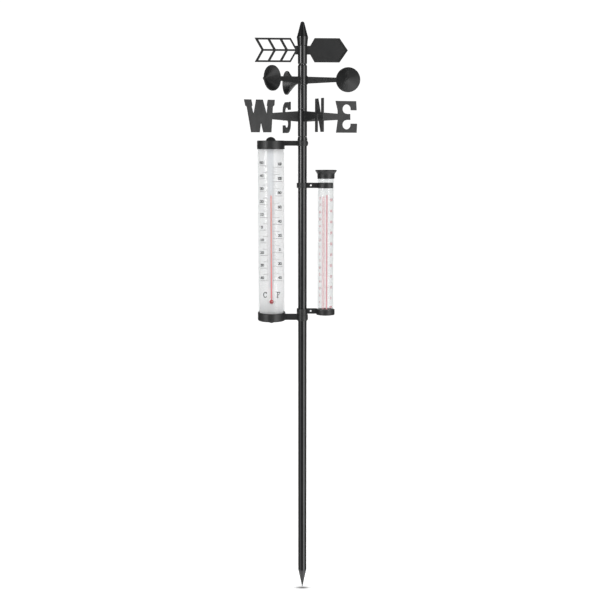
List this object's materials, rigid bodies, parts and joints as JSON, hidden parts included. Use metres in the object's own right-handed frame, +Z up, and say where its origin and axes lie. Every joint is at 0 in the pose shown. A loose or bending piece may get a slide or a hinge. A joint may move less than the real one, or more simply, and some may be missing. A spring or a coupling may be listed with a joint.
{
  "type": "garden weather station",
  "caption": "Ground-stake weather station: a slim pole with a turning wind vane, a cup wheel, compass letters, a thermometer tube and a rain gauge with a funnel.",
  "frame": {"origin": "on the pole's axis at the ground line, 183 mm above the spike's tip", "axes": "+Z up along the pole; -Y is the front, where both scales are read; the thermometer is on -X and the rain gauge on +X"},
  "size_m": [0.2809, 0.2623, 1.453],
  "materials": {
    "pole_paint": "satin black paint",
    "black_plastic": "satin moulded",
    "hub_plastic": "glossy moulded",
    "letter_plastic": "fine matte texture",
    "bare_steel": "bright",
    "bush_brass": "turned",
    "clear_tube": "clear acrylic",
    "white_plate": "printed white sheet",
    "capillary_glass": "clear glass",
    "red_liquid": "dyed spirit"
  },
  "bodies": {
    "pole": {"ground_spike": "pole_paint", "pole_lower": "pole_paint", "pole_middle": "pole_paint", "pole_upper": "pole_paint", "coupler_lower": "bare_steel", "coupler_upper": "bare_steel", "top_plug": "hub_plastic", "spindle": "bare_steel", "thrust_washers": "bare_steel", "spacer_sleeve": "hub_plastic", "finial": "hub_plastic"},
    "compass": {"compass_hub": "hub_plastic", "letter_arm_west": "letter_plastic", "letter_arm_east": "letter_plastic", "letter_arm_north": "letter_plastic", "letter_arm_south": "letter_plastic"},
    "cup_wheel": {"cup_hub": "hub_plastic", "cup_bush": "bush_brass", "cup_arm_1": "black_plastic", "cup_arm_2": "black_plastic", "cup_arm_3": "black_plastic", "wind_cup_1": "black_plastic", "wind_cup_2": "black_plastic", "wind_cup_3": "black_plastic"},
    "wind_vane": {"vane_hub": "hub_plastic", "vane_bush": "bush_brass", "vane_tail": "black_plastic", "vane_head": "black_plastic"},
    "thermometer": {"thermometer_tube": "clear_tube", "thermometer_upper_bracket": "black_plastic", "thermometer_lower_bracket": "black_plastic", "thermometer_knob": "black_plastic", "thermometer_foot": "black_plastic", "scale_plate": "white_plate", "capillary_tube": "capillary_glass", "red_liquid": "red_liquid"},
    "gauge_holder": {"gauge_upper_bracket": "black_plastic", "gauge_lower_bracket": "black_plastic"},
    "gauge": {"gauge_tube": "clear_tube"},
    "funnel": {"gauge_funnel": "black_plastic"}
  },
  "joints": [
    {"name": "compass_turn", "type": "hinge", "parent": "pole", "child": "compass", "pos_m": [0, 0, 1.03], "axis": [0, 0, 1], "continuous": true},
    {"name": "cup_spin", "type": "hinge", "parent": "pole", "child": "cup_wheel", "pos_m": [0, 0, 1.144], "axis": [0, 0, 1], "continuous": true},
    {"name": "vane_spin", "type": "hinge", "parent": "pole", "child": "wind_vane", "pos_m": [0, 0, 1.19], "axis": [0, 0, 1], "continuous": true},
    {"name": "thermometer_swing", "type": "hinge", "parent": "pole", "child": "thermometer", "pos_m": [0, 0, 0.763], "axis": [0, 0, 1], "range_deg": [-55, 55]},
    {"name": "gauge_swing", "type": "hinge", "parent": "pole", "child": "gauge_holder", "pos_m": [0, 0, 0.72], "axis": [0, 0, 1], "range_deg": [-55, 55]},
    {"name": "gauge_lift", "type": "slide", "parent": "gauge_holder", "child": "gauge", "axis": [0, 0, 1], "range_m": [0, 0.05]},
    {"name": "funnel_lift", "type": "slide", "parent": "gauge", "child": "funnel", "axis": [0, 0, 1], "range_m": [0, 0.028]}
  ]
}
